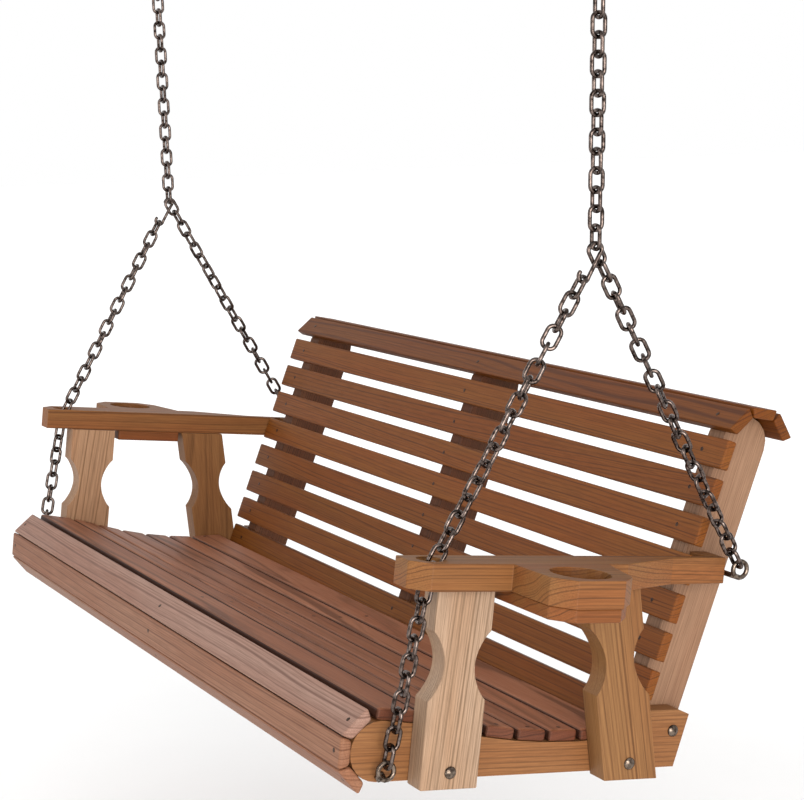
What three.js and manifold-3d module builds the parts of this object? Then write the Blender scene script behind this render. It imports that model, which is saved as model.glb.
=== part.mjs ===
// Porch swing: a slatted wooden bench hung on chains from two ceiling hangers.
// Units are millimetres. +X is to the right seen from the front, +Y is the back, +Z is up.
// The world origin is on the ceiling, midway between the two hangers.
// The bench is drawn level in its own frame: Y = 0 is the nose of the rails and Z = 0 is their underside.
// It is then tilted back a little and hung so that the chain junctions sit on Y = 0 of the world.

import * as THREE from 'three';
import { mergeVertices } from 'three/addons/utils/BufferGeometryUtils.js';
import Module from 'manifold-3d';

const wasm = await Module();
wasm.setup();

// ---------- driving dimensions ----------

const FIT = 0.3; // clearance between neighbouring pieces
const BENCH_TILT = 7.314; // degrees the hung bench leans back

// chain, bent from round wire
const WIRE = 6;
const LINK_PITCH = 26; // inside length of a link
const LINK_INNER_WIDTH = 13.6;
const LINK_CORNER = 6.4; // bend radius of a link, on the middle of the wire
const LINK_GRIP = 7.2; // between the centre lines of two linked wires
const STRAND_RADIUS = 6.2; // a solid bar this thick weighs the same per metre as the chain
const JUNCTION = { x: 808, y: 276, z: 743 }; // where three chains meet, in the bench frame
const CHAIN_SPLAY = 40; // hangers stand this much further out than the junctions
const DROP = 1010; // ceiling to junction

// the open hook, which shares the last link of the upper chain with the rear chain
const HOOK_OFFSET = 3.4; // each of the two hangs this far to its own side of the middle of the link
const HOOK_ARCH_RADIUS = 8;
const HOOK_LENGTH = 41; // between the centres of the two bends
const HOOK_OVERRUN = 20; // degrees that each bend turns past a half circle, at both ends

// ceiling hangers
const HANGER_PLATE = { length: 110, width: 45, thickness: 6 };
const HANGER_BAR_Z = -42;
const HANGER_BAR_RADIUS = 4;
const HANGER_BAR_HALF = 15;
const HANGER_BAR_CORNER = 6;

// side rails and the slats they carry
const HALF_SLAT = 762; // front, back and roll slats are 1524 long
const HALF_SEAT_SLAT = 757.7; // seat slats stop short of the arm posts
const RAIL_THICKNESS = 32;
const RAIL_OUTER_X = 758;
const NOSE_RADIUS = 42.5;
const SLAT_THICKNESS = 17;
const NOSE_STEPS = 12;
const FRONT_SLAT_FILL = 0.97; // the rest is a dark line between neighbours
const UPPER_SLAT_EXTRA = 4; // the upper front slat is this much wider, towards the seat
const FIRST_SEAT_SLAT_EXTRA = 16; // the first seat slat is this much wider, towards the front
const LAST_SEAT_SLAT_EXTRA = 15; // the last one is this much wider, towards the back
const SEAT_STEP = 52.5; // pitch of the seat slats
const SEAT_SLATS = 7;
const SEAT_GAP = 6;
const SEAT_START_Y = 47;
// rail height at each gap between seat slats, front to back, then once more behind the last slat
const SEAT_CURVE = [85, 79, 67.5, 56.5, 49, 45, 44, 47.5, 44];
const RAIL_REAR = [[481, 85], [532, 85], [550, 78], [531, 0]]; // outline behind the last slat

// back
const BACK_LEAN = 15; // degrees
const POST_WIDTH = 38; // across X
const POST_DEPTH = 78;
const CENTRE_JOINT_X = 4; // the centre post and the centre rail meet here
const BACK_FOOT = { y: 455, z: 9 }; // lower front corner of a back post
const BACK_SLAT_THICKNESS = 16;
const BACK_SLAT_WIDTH = 43.5;
const BACK_STEP = 58.4;
const BACK_SLATS = 8;
const FIRST_BACK_SLAT = 57.5; // from the foot of the post, along it, to the middle of the lowest slat
const FOOT_SLAT_TRIM = 2; // taken off the lower edge of the lowest slat, to clear the rails
const ROLL_CENTRE = 495; // from the foot of the post, along it, to the centre of the rounded top
const ROLL_ANGLES = [135, 85, 35]; // degrees from +Y: the way each roll slat faces
const ROLL_SLAT_WIDTH = 44; // on its outer face
const ROLL_SLAT_INNER_WIDTH = 36;

// arms
const ARM_TOP = 314.4;
const ARM_THICKNESS = 38;
const ARM_INNER_X = 764;
const CUP = { x: 886, y: 254, radius: 42 };
const CHAIN_HOLE = { x: 791, y: 76, radius: 19 };
const CUP_FLOOR_THICKNESS = 19;

// arm posts
const ARM_POST_WIDTH = 89;
const ARM_POST_THICKNESS = 38;
const ARM_POST_FOOT = -4; // the posts end a little below the rails
const WAIST_Z = 168;
const WAIST_DEPTH = 21;
const WAIST_HALF_HEIGHT = 48;
const FRONT_POST_Y = 135; // middle of the post at its foot
const REAR_POST_Y = 431;
const REAR_POST_LEAN = 12.5; // degrees, top towards the front

// fasteners
const MERGE = 1; // how far pieces fused into one body run into each other
const BOLT_RADIUS = 4;
const BOLT_HEIGHT = 20;
const BOLT_HEAD_RADIUS = 9;
const BOLT_HEAD_EDGE = 2.5;
const BOLT_CROWN_RADIUS = 6;
const BOLT_CROWN_HEIGHT = 5;
const WASHER_RADIUS = 10;
const WASHER_THICKNESS = 2;
const NUT_RADIUS = 7;
const NUT_REACH = 8; // from the wood to the far face of the nut
const THREAD_REACH = 11; // from the wood to the end of the thread
const REAR_BOLT = { y: 524, z: 54 };
const FRONT_EYE = { x: 776, y: 47, z: 20 };
const REAR_EYE = { x: 786, y: 592, z: 299 };
const EYE_RING_RADIUS = 12; // centre line of the ring
const EYE_WIRE_RADIUS = 3.5;
const EYE_COLLAR_RADIUS = 8;
const EYE_COLLAR_THICKNESS = 5;

const WOOD = 0xa9744a;
const STEEL = 0x8c8580;

// ---------- small helpers ----------

const radians = THREE.MathUtils.degToRad;
const vec = (x, y, z) => new THREE.Vector3(x, y, z);
const pointOf = ({ x, y, z }) => vec(x, y, z);

function circle(y, z, radius, sides = 12) {
  const points = [];
  for (let i = 0; i < sides; i += 1) {
    const angle = (2 * Math.PI * i) / sides;
    points.push([y + radius * Math.cos(angle), z + radius * Math.sin(angle)]);
  }
  return points;
}

function shapeFrom(outline, holes = []) {
  const shape = new THREE.Shape(outline.map(([a, b]) => new THREE.Vector2(a, b)));
  for (const hole of holes) {
    shape.holes.push(new THREE.Path(hole.map(([a, b]) => new THREE.Vector2(a, b))));
  }
  return shape;
}

// A board cut to a side view outline of [y, z] points, from x0 to x1.
function sideBoard(outline, x0, x1, holes = []) {
  const settings = { depth: x1 - x0, bevelEnabled: false, steps: 1 };
  const geometry = new THREE.ExtrudeGeometry(shapeFrom(outline, holes), settings);
  const frame = new THREE.Matrix4().makeBasis(
    new THREE.Vector3(0, 1, 0),
    new THREE.Vector3(0, 0, 1),
    new THREE.Vector3(1, 0, 0),
  );
  frame.setPosition(x0, 0, 0);
  return geometry.applyMatrix4(frame);
}

// A board cut to a plan outline of [x, y] points, from z0 to z1.
function planBoard(outline, z0, z1, holes = []) {
  const settings = { depth: z1 - z0, bevelEnabled: false, steps: 1 };
  return new THREE.ExtrudeGeometry(shapeFrom(outline, holes), settings).translate(0, 0, z0);
}

// The point `along` a leaning line and `out` in front of it, as [y, z].
function onBack(along, out) {
  const lean = radians(BACK_LEAN);
  const y = BACK_FOOT.y + along * Math.sin(lean) - out * Math.cos(lean);
  const z = BACK_FOOT.z + along * Math.cos(lean) + out * Math.sin(lean);
  return [y, z];
}

// A straight slat across the bench: a rectangle centred on [y, z], with its outer face turned to `facing`.
// Its inner face can be narrower, which leaves bevelled edges.
function slat([y, z], facing, width, thickness, { half = HALF_SLAT, innerWidth = width } = {}) {
  const angle = radians(facing);
  const normal = [Math.cos(angle), Math.sin(angle)];
  const side = [-normal[1], normal[0]];
  const corners = [[1, 1], [1, -1], [-1, -1], [-1, 1]];
  const outline = corners.map(([across, deep]) => {
    const reach = (across * (deep > 0 ? width : innerWidth)) / 2;
    const depth = (deep * thickness) / 2;
    return [y + side[0] * reach + normal[0] * depth, z + side[1] * reach + normal[1] * depth];
  });
  return sideBoard(counterClockwise(outline), -half, half);
}

function counterClockwise(outline) {
  const area = outline.reduce((sum, [a, b], i) => {
    const [c, d] = outline[(i + 1) % outline.length];
    return sum + a * d - b * c;
  }, 0);
  return area > 0 ? outline : [...outline].reverse();
}

// A bar of round section through the given points. A closed bar joins its end to its start.
function bar(points, radius, { closed = false, sides = 8 } = {}) {
  const count = points.length;
  const positions = [];
  const index = [];
  const plane = barPlane(points);
  for (let i = 0; i < count; i += 1) {
    const before = points[closed ? (i - 1 + count) % count : Math.max(i - 1, 0)];
    const after = points[closed ? (i + 1) % count : Math.min(i + 1, count - 1)];
    const here = points[i];
    const into = i === 0 && !closed ? after.clone().sub(here) : here.clone().sub(before);
    const outOf = i === count - 1 && !closed ? into : after.clone().sub(here);
    const tangent = into.normalize().clone().add(outOf.clone().normalize()).normalize();
    const stretch = 1 / Math.max(tangent.dot(into), 0.5);
    const across = new THREE.Vector3().crossVectors(plane, tangent).normalize();
    for (let k = 0; k < sides; k += 1) {
      const angle = (2 * Math.PI * (k + 0.5)) / sides;
      const point = here.clone();
      point.addScaledVector(across, radius * stretch * Math.cos(angle));
      point.addScaledVector(plane, radius * Math.sin(angle));
      positions.push(point.x, point.y, point.z);
    }
  }
  const rings = closed ? count : count - 1;
  for (let i = 0; i < rings; i += 1) {
    const next = (i + 1) % count;
    for (let k = 0; k < sides; k += 1) {
      const turn = (k + 1) % sides;
      index.push(i * sides + k, next * sides + k, next * sides + turn);
      index.push(i * sides + k, next * sides + turn, i * sides + turn);
    }
  }
  if (!closed) {
    for (let k = 1; k < sides - 1; k += 1) {
      const last = (count - 1) * sides;
      index.push(0, k, k + 1);
      index.push(last, last + k + 1, last + k);
    }
  }
  const geometry = new THREE.BufferGeometry();
  geometry.setAttribute('position', new THREE.Float32BufferAttribute(positions, 3));
  geometry.setIndex(index);
  return facingOut(geometry);
}

// The unit normal of the plane that a bent bar lies in, or any normal to a straight one.
function barPlane(points) {
  const first = points[1].clone().sub(points[0]);
  for (let i = 2; i < points.length; i += 1) {
    const normal = new THREE.Vector3().crossVectors(first, points[i].clone().sub(points[0]));
    if (normal.length() > 1) {
      return normal.normalize();
    }
  }
  const mostlyAlongX = Math.abs(first.x) > Math.abs(first.z);
  const helper = mostlyAlongX ? vec(0, 0, 1) : vec(1, 0, 0);
  return helper.cross(first).normalize();
}

function signedVolume(geometry) {
  const at = geometry.attributes.position;
  const a = new THREE.Vector3();
  const b = new THREE.Vector3();
  const c = new THREE.Vector3();
  let volume = 0;
  for (let i = 0; i < geometry.index.count; i += 3) {
    a.fromBufferAttribute(at, geometry.index.getX(i));
    b.fromBufferAttribute(at, geometry.index.getX(i + 1));
    c.fromBufferAttribute(at, geometry.index.getX(i + 2));
    volume += a.dot(b.cross(c)) / 6;
  }
  return volume;
}

function facingOut(geometry) {
  if (signedVolume(geometry) < 0) {
    const flipped = Array.from(geometry.index.array);
    for (let i = 0; i < flipped.length; i += 3) {
      [flipped[i + 1], flipped[i + 2]] = [flipped[i + 2], flipped[i + 1]];
    }
    geometry.setIndex(flipped);
  }
  return geometry;
}

function toManifold(geometry) {
  const plain = geometry.clone();
  plain.deleteAttribute('normal');
  plain.deleteAttribute('uv');
  const merged = mergeVertices(plain, 1e-4);
  return new wasm.Manifold(new wasm.Mesh({
    numProp: 3,
    vertProperties: merged.attributes.position.array,
    triVerts: new Uint32Array(merged.index.array),
  }));
}

// One closed body out of several overlapping ones.
function fuse(...geometries) {
  const whole = geometries.map(toManifold).reduce((sum, piece) => sum.add(piece));
  const mesh = whole.getMesh();
  const geometry = new THREE.BufferGeometry();
  geometry.setAttribute('position', new THREE.Float32BufferAttribute(mesh.vertProperties, 3));
  geometry.setIndex(Array.from(mesh.triVerts));
  return geometry;
}

function mirrored(geometry) {
  const copy = geometry.index ? geometry.clone() : mergeVertices(geometry.clone());
  copy.applyMatrix4(new THREE.Matrix4().makeScale(-1, 1, 1));
  return facingOut(copy);
}

// ---------- bench: rails, posts and slats ----------

function seatGapPoints() {
  return SEAT_CURVE.map((height, i) => [SEAT_START_Y + i * SEAT_STEP, height]);
}

// Corners of the eight-sided shape that the three front slats make round the nose, top to bottom.
function nosePoints(radius) {
  const corner = radius / Math.cos(radians(22.5));
  return [112.5, 157.5, 202.5, 247.5].map((angle) => [
    NOSE_RADIUS + corner * Math.cos(radians(angle)),
    NOSE_RADIUS + corner * Math.sin(radians(angle)),
  ]);
}

// The rounded front of a rail, from its top to its underside.
function noseArc() {
  const points = [];
  for (let i = 0; i <= NOSE_STEPS; i += 1) {
    const angle = radians(90 + (180 * i) / NOSE_STEPS);
    points.push([NOSE_RADIUS + NOSE_RADIUS * Math.cos(angle), NOSE_RADIUS + NOSE_RADIUS * Math.sin(angle)]);
  }
  return points;
}

function railOutline() {
  const rear = [...RAIL_REAR].reverse();
  const top = seatGapPoints().reverse();
  return counterClockwise([...rear, ...top, ...noseArc()]);
}

function rail(x0, x1, holes) {
  return sideBoard(railOutline(), x0, x1, holes);
}

function boltHole({ y, z }, radius = BOLT_RADIUS) {
  return circle(y, z, radius + FIT);
}

function frontSlat(i) {
  const inner = nosePoints(NOSE_RADIUS + FIT);
  const outer = nosePoints(NOSE_RADIUS + SLAT_THICKNESS);
  const outline = [inner[i], outer[i], outer[i + 1], inner[i + 1]];
  const middle = outline.reduce(([a, b], [c, d]) => [a + c / 4, b + d / 4], [0, 0]);
  const sideways = [inner[i + 1][0] - inner[i][0], inner[i + 1][1] - inner[i][1]];
  const length = Math.hypot(...sideways);
  const unit = sideways.map((value) => value / length);
  const closed = outline.map(([y, z]) => {
    const along = (y - middle[0]) * unit[0] + (z - middle[1]) * unit[1];
    const grow = i === 0 && along < 0 ? UPPER_SLAT_EXTRA : 0;
    const pull = along * (1 - FRONT_SLAT_FILL) + grow;
    return [y - unit[0] * pull, z - unit[1] * pull];
  });
  return sideBoard(counterClockwise(closed), -HALF_SLAT, HALF_SLAT);
}

function seatSlat(i) {
  const gaps = seatGapPoints();
  const [[y0, z0], [y1, z1]] = [gaps[i], gaps[i + 1]];
  const length = Math.hypot(y1 - y0, z1 - z0);
  const facing = THREE.MathUtils.radToDeg(Math.atan2(y1 - y0, z0 - z1));
  const lift = SLAT_THICKNESS / 2 + FIT;
  const front = i === 0 ? FIRST_SEAT_SLAT_EXTRA : 0;
  const rear = i === SEAT_SLATS - 1 ? LAST_SEAT_SLAT_EXTRA : 0;
  const forward = (front - rear) / 2 / length;
  const centre = [
    (y0 + y1) / 2 + lift * Math.cos(radians(facing)) - (y1 - y0) * forward,
    (z0 + z1) / 2 + lift * Math.sin(radians(facing)) - (z1 - z0) * forward,
  ];
  const width = length - SEAT_GAP + front + rear;
  return slat(centre, facing, width, SLAT_THICKNESS, { half: HALF_SEAT_SLAT });
}

function backPostOutline() {
  const steps = 8;
  const radius = POST_DEPTH / 2;
  const foot = BACK_FOOT.z;
  const outline = [onBack(0, 0)];
  for (let i = 0; i <= steps; i += 1) {
    const angle = (Math.PI * i) / steps;
    outline.push(onBack(ROLL_CENTRE + radius * Math.sin(angle), -radius + radius * Math.cos(angle)));
  }
  const heel = POST_DEPTH / Math.cos(radians(BACK_LEAN));
  outline.push([BACK_FOOT.y + heel, foot]);
  return counterClockwise(outline);
}

function backPost(x0, holes) {
  return sideBoard(backPostOutline(), x0, x0 + POST_WIDTH, holes);
}

// The lowest one is trimmed below, and stops short of the arm posts like the seat slats.
function backSlat(i) {
  const trim = i === 0 ? FOOT_SLAT_TRIM : 0;
  const half = i === 0 ? HALF_SEAT_SLAT : HALF_SLAT;
  const along = FIRST_BACK_SLAT + i * BACK_STEP + trim / 2;
  const centre = onBack(along, BACK_SLAT_THICKNESS / 2 + FIT);
  return slat(centre, 180 - BACK_LEAN, BACK_SLAT_WIDTH - trim, BACK_SLAT_THICKNESS, { half });
}

function rollSlat(facing) {
  const [y, z] = onBack(ROLL_CENTRE, -POST_DEPTH / 2);
  const reach = POST_DEPTH / 2 + FIT + BACK_SLAT_THICKNESS / 2;
  const centre = [y + reach * Math.cos(radians(facing)), z + reach * Math.sin(radians(facing))];
  return slat(centre, facing, ROLL_SLAT_WIDTH, BACK_SLAT_THICKNESS, { innerWidth: ROLL_SLAT_INNER_WIDTH });
}

// ---------- arms ----------

function armOutline() {
  return [
    [ARM_INNER_X, 38],
    [801, 38],
    [826, 63],
    [826, 186],
    [914, 190],
    [942, 217],
    [942, 290],
    [914, 318],
    [826, 338],
    [826, 370],
    [782, 476],
    [777, 572],
    [RAIL_OUTER_X - RAIL_THICKNESS + FIT, 572],
    [RAIL_OUTER_X - RAIL_THICKNESS + FIT, 544],
    [ARM_INNER_X, 544],
  ];
}

function armBoard() {
  const holes = [
    circle(CUP.x, CUP.y, CUP.radius, 24),
    circle(CHAIN_HOLE.x, CHAIN_HOLE.y, CHAIN_HOLE.radius, 16),
  ];
  return planBoard(armOutline(), ARM_TOP - ARM_THICKNESS, ARM_TOP, holes);
}

function cupFloor() {
  const outline = [
    [ARM_INNER_X, 190],
    [912, 192],
    [939, 219],
    [939, 289],
    [912, 315],
    [ARM_INNER_X, 320],
  ];
  const top = ARM_TOP - ARM_THICKNESS - FIT;
  return planBoard(outline, top - CUP_FLOOR_THICKNESS, top);
}

// One long edge of an arm post from foot to top, as offsets from the post's middle line.
function postEdge(sign, height) {
  const half = ARM_POST_WIDTH / 2;
  const steps = 16;
  const edge = [[sign * half, ARM_POST_FOOT]];
  for (let i = 0; i <= steps; i += 1) {
    const part = (2 * i) / steps - 1;
    const bite = WAIST_DEPTH * Math.cos((Math.PI / 2) * part) ** 0.8;
    edge.push([sign * (half - bite), WAIST_Z + WAIST_HALF_HEIGHT * part]);
  }
  edge.push([sign * half, height]);
  return edge;
}

function armPost(footY, lean, x0) {
  const height = ARM_TOP - ARM_THICKNESS - FIT;
  const slope = Math.tan(radians(lean));
  const outline = [...postEdge(1, height), ...postEdge(-1, height).reverse()];
  const placed = outline.map(([offset, z]) => [footY + offset - z * slope, z]);
  const hole = boltHole({ y: footY - BOLT_HEIGHT * slope, z: BOLT_HEIGHT });
  return sideBoard(counterClockwise(placed), x0, x0 + ARM_POST_THICKNESS, [hole]);
}

// ---------- fasteners ----------

function xCylinder(x0, x1, y, z, radius, sides = 10) {
  return sideBoard(circle(y, z, radius, sides), x0, x1);
}

// The washer and nut on a thread that comes out of the face at xFace, towards -X.
function nutAndWasher(xFace, y, z) {
  const face = xFace - FIT;
  const washer = xCylinder(face - WASHER_THICKNESS, face, y, z, WASHER_RADIUS, 12);
  const nut = xCylinder(face - NUT_REACH, face - MERGE, y, z, NUT_RADIUS, 6);
  return [washer, nut];
}

// A domed head at xHead, a shank towards -X, and a nut with its washer at xNut.
function carriageBolt(xHead, xNut, y, z) {
  const face = xHead + FIT;
  const edge = xCylinder(face, face + BOLT_HEAD_EDGE, y, z, BOLT_HEAD_RADIUS, 12);
  const crown = xCylinder(face + MERGE, face + BOLT_CROWN_HEIGHT, y, z, BOLT_CROWN_RADIUS, 12);
  const shank = xCylinder(xNut - THREAD_REACH, xHead + MERGE, y, z, BOLT_RADIUS);
  return fuse(edge, crown, shank, ...nutAndWasher(xNut, y, z));
}

// A ring in the YZ plane at `eye`, on a shank that runs to a nut at xNut, with a collar at xFace.
function eyeBolt(eye, xFace, xNut) {
  const sides = 16;
  const ring = circle(eye.y, eye.z, EYE_RING_RADIUS, sides).map(([y, z]) => vec(eye.x, y, z));
  const rootZ = eye.z - EYE_RING_RADIUS;
  const face = xFace + FIT;
  const shank = xCylinder(xNut - THREAD_REACH, eye.x, eye.y, rootZ, BOLT_RADIUS);
  const collar = xCylinder(face, face + EYE_COLLAR_THICKNESS, eye.y, rootZ, EYE_COLLAR_RADIUS, 6);
  const wire = bar(ring, EYE_WIRE_RADIUS, { closed: true, sides: 6 });
  return fuse(wire, shank, collar, ...nutAndWasher(xNut, eye.y, rootZ));
}

// ---------- chains ----------

// The centre line of a link of given inside length, centred on `centre`, long side along `down`.
function linkLoop(centre, down, across) {
  const halfWidth = (LINK_INNER_WIDTH + WIRE) / 2;
  const halfLength = (LINK_PITCH + WIRE) / 2;
  const path = [];
  const corners = [[1, 1, 0], [-1, 1, 90], [-1, -1, 180], [1, -1, 270]];
  for (const [sx, sy, start] of corners) {
    for (let i = 0; i <= 3; i += 1) {
      const angle = radians(start + i * 30);
      const u = sx * (halfWidth - LINK_CORNER) + LINK_CORNER * Math.cos(angle);
      const v = sy * (halfLength - LINK_CORNER) + LINK_CORNER * Math.sin(angle);
      path.push(centre.clone().addScaledVector(across, u).addScaledVector(down, v));
    }
  }
  return bar(path, WIRE / 2, { closed: true, sides: 6 });
}

// A chain as one bar of equal weight with a real link at both ends.
// `path` runs through the places where the end links hang; each end link lies in the plane given.
function strand(path, acrossStart, acrossEnd) {
  const first = path[0];
  const last = path[path.length - 1];
  const down = path[1].clone().sub(first).normalize();
  const up = path[path.length - 2].clone().sub(last).normalize();
  const half = (LINK_PITCH + WIRE) / 2;
  const startLink = linkLoop(first.clone().addScaledVector(down, half), down, acrossStart);
  const endLink = linkLoop(last.clone().addScaledVector(up, half), up, acrossEnd);
  const middle = path.map((point) => point.clone());
  middle[0].addScaledVector(down, 2 * half);
  middle[middle.length - 1].addScaledVector(up, 2 * half);
  return fuse(startLink, bar(middle, STRAND_RADIUS), endLink);
}

// ---------- placing the bench in the world ----------

const tilt = radians(-BENCH_TILT);

function benchToWorld(y, z) {
  const dy = y - JUNCTION.y;
  const dz = z - JUNCTION.z;
  return [dy * Math.cos(tilt) - dz * Math.sin(tilt), dy * Math.sin(tilt) + dz * Math.cos(tilt) - DROP];
}

const benchMatrix = new THREE.Matrix4()
  .makeTranslation(0, 0, -DROP)
  .multiply(new THREE.Matrix4().makeRotationX(tilt))
  .multiply(new THREE.Matrix4().makeTranslation(0, -JUNCTION.y, -JUNCTION.z));

const group = new THREE.Group();
group.name = 'porch_swing';

function addWorld(name, geometry, color) {
  const mesh = new THREE.Mesh(geometry, new THREE.MeshStandardMaterial({ color, roughness: 0.6 }));
  mesh.name = name;
  group.add(mesh);
}

function addBench(name, geometry, color = WOOD) {
  addWorld(name, geometry.applyMatrix4(benchMatrix), color);
}

function addPair(name, geometry, color = WOOD) {
  addBench(`${name}_right`, geometry.clone(), color);
  addBench(`${name}_left`, mirrored(geometry), color);
}

// rails
const railInnerX = RAIL_OUTER_X - RAIL_THICKNESS;
const frontBolt = { y: FRONT_POST_Y, z: BOLT_HEIGHT };
const rearBolt = { y: REAR_POST_Y - BOLT_HEIGHT * Math.tan(radians(REAR_POST_LEAN)), z: BOLT_HEIGHT };
const frontEyeRoot = { y: FRONT_EYE.y, z: FRONT_EYE.z - EYE_RING_RADIUS };
addPair('seat_rail', rail(railInnerX, RAIL_OUTER_X, [
  boltHole(frontBolt),
  boltHole(rearBolt),
  boltHole(REAR_BOLT),
  boltHole(frontEyeRoot),
]));
const centreRailX = CENTRE_JOINT_X + FIT;
addBench('seat_rail_centre', rail(centreRailX, centreRailX + RAIL_THICKNESS, [boltHole(REAR_BOLT)]));

// back posts
const rearEyeRoot = { y: REAR_EYE.y, z: REAR_EYE.z - EYE_RING_RADIUS };
const backPostX = railInnerX - FIT - POST_WIDTH;
addPair('back_post', backPost(backPostX, [boltHole(REAR_BOLT), boltHole(rearEyeRoot)]));
const centrePostX = CENTRE_JOINT_X - POST_WIDTH;
addBench('back_post_centre', backPost(centrePostX, [boltHole(REAR_BOLT)]));

// slats
['upper', 'middle', 'lower'].forEach((place, i) => addBench(`front_slat_${place}`, frontSlat(i)));
for (let i = 0; i < SEAT_SLATS; i += 1) {
  addBench(`seat_slat_${i + 1}`, seatSlat(i));
}
for (let i = 0; i < BACK_SLATS; i += 1) {
  addBench(`back_slat_${i + 1}`, backSlat(i));
}
['front', 'top', 'rear'].forEach((place, i) => addBench(`roll_slat_${place}`, rollSlat(ROLL_ANGLES[i])));

// arms
addPair('arm', armBoard());
addPair('cup_floor', cupFloor());
const armPostX = RAIL_OUTER_X + FIT;
addPair('arm_post_front', armPost(FRONT_POST_Y, 0, armPostX));
addPair('arm_post_rear', armPost(REAR_POST_Y, REAR_POST_LEAN, armPostX));

// bolts
const armBoltX = armPostX + ARM_POST_THICKNESS;
addPair('bolt_arm_front', carriageBolt(armBoltX, railInnerX, frontBolt.y, frontBolt.z), STEEL);
addPair('bolt_arm_rear', carriageBolt(armBoltX, railInnerX, rearBolt.y, rearBolt.z), STEEL);
addPair('bolt_back', carriageBolt(RAIL_OUTER_X, backPostX, REAR_BOLT.y, REAR_BOLT.z), STEEL);
const centreBolt = carriageBolt(centreRailX + RAIL_THICKNESS, centrePostX, REAR_BOLT.y, REAR_BOLT.z);
addBench('bolt_centre', centreBolt, STEEL);
addPair('eye_bolt_front', eyeBolt(FRONT_EYE, RAIL_OUTER_X, railInnerX), STEEL);
addPair('eye_bolt_rear', eyeBolt(REAR_EYE, railInnerX, backPostX), STEEL);

// chains that hang with the bench
const junction = pointOf(JUNCTION);
const kink = vec(CHAIN_HOLE.x, CHAIN_HOLE.y, ARM_TOP - ARM_THICKNESS / 2);

// An open hook of wire: an arch through the junction and a second bend below it, both open to the front.
function openHook() {
  const down = kink.clone().sub(junction).setX(0).normalize();
  const front = vec(0, down.z, -down.y);
  const steps = 8;
  const turn = (180 + 2 * HOOK_OVERRUN) / steps;
  const path = [];
  const at = (u, v) => {
    const point = junction.clone().addScaledVector(front, u).addScaledVector(down, v);
    return point.setX(JUNCTION.x + HOOK_OFFSET);
  };
  const bend = (depth, start) => {
    for (let i = 0; i <= steps; i += 1) {
      const angle = radians(start + i * turn);
      path.push(at(HOOK_ARCH_RADIUS * Math.cos(angle), depth - HOOK_ARCH_RADIUS * Math.sin(angle)));
    }
  };
  bend(0, -HOOK_OVERRUN);
  bend(HOOK_LENGTH, -180 - HOOK_OVERRUN);
  const lower = at(0, HOOK_LENGTH + HOOK_ARCH_RADIUS - LINK_GRIP);
  return { geometry: bar(path, WIRE / 2, { sides: 6 }), lower };
}

const hook = openHook();
addPair('chain_hook', hook.geometry, STEEL);

const sideways = vec(1, 0, 0);
const inSide = (from, to) => {
  const down = to.clone().sub(from).normalize();
  return new THREE.Vector3().crossVectors(down, sideways).normalize();
};

// Where the end wire of a link lies when it hangs in the ring of an eye bolt and pulls towards `pull`.
function inEye(eye, pull) {
  const centre = pointOf(eye);
  const direction = pull.clone().sub(centre).setX(0).normalize();
  return centre.addScaledVector(direction, EYE_RING_RADIUS - LINK_GRIP - FIT);
}

const frontEye = inEye(FRONT_EYE, kink);
const rearEye = inEye(REAR_EYE, junction);
addPair('front_chain', strand([hook.lower, kink, frontEye], sideways, sideways), STEEL);
const rearHang = vec(JUNCTION.x - HOOK_OFFSET, JUNCTION.y, JUNCTION.z);
const rearPull = rearEye.clone().sub(rearHang).normalize();
const rearStart = rearHang.clone().addScaledVector(rearPull, -LINK_GRIP);
addPair('rear_chain', strand([rearStart, rearEye], inSide(rearStart, rearEye), sideways), STEEL);

// ---------- upper chains and ceiling hangers ----------

const hangerX = JUNCTION.x + CHAIN_SPLAY;

// A plate on the ceiling with a U of round bar below it.
function ceilingHanger() {
  const { length, width, thickness } = HANGER_PLATE;
  const middle = -thickness / 2;
  const plate = new THREE.BoxGeometry(length, width, thickness).translate(hangerX, 0, middle);
  const half = HANGER_BAR_HALF;
  const corner = HANGER_BAR_CORNER;
  const path = [
    vec(hangerX - half, 0, middle),
    vec(hangerX - half, 0, HANGER_BAR_Z + corner),
    vec(hangerX - half + corner, 0, HANGER_BAR_Z),
    vec(hangerX + half - corner, 0, HANGER_BAR_Z),
    vec(hangerX + half, 0, HANGER_BAR_Z + corner),
    vec(hangerX + half, 0, middle),
  ];
  return fuse(plate, bar(path, HANGER_BAR_RADIUS));
}

function upperChain() {
  const grip = LINK_GRIP + HANGER_BAR_RADIUS - WIRE / 2;
  const top = vec(hangerX, 0, HANGER_BAR_Z + grip);
  const bottom = vec(JUNCTION.x, 0, -DROP);
  return strand([top, bottom], vec(0, 1, 0), sideways);
}

for (const [side, place] of [['right', (g) => g], ['left', mirrored]]) {
  addWorld(`upper_chain_${side}`, place(upperChain()), STEEL);
  addWorld(`ceiling_hanger_${side}`, place(ceilingHanger()), STEEL);
}

export default group;
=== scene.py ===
"""Looks for the porch swing: bevelled stained wood, linked chains, bolts, screws, floor, light and camera.

Lengths are in metres. A "bench" point is given in the bench's own level frame (X right seen from
the front, Y back from the nose of the rails, Z up from their underside) and turned into the frame
that the swing hangs in, whose origin is on the ceiling midway between the two hangers.
"""

import math
import random

import bpy
from mathutils import Euler, Matrix, Quaternion, Vector


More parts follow.
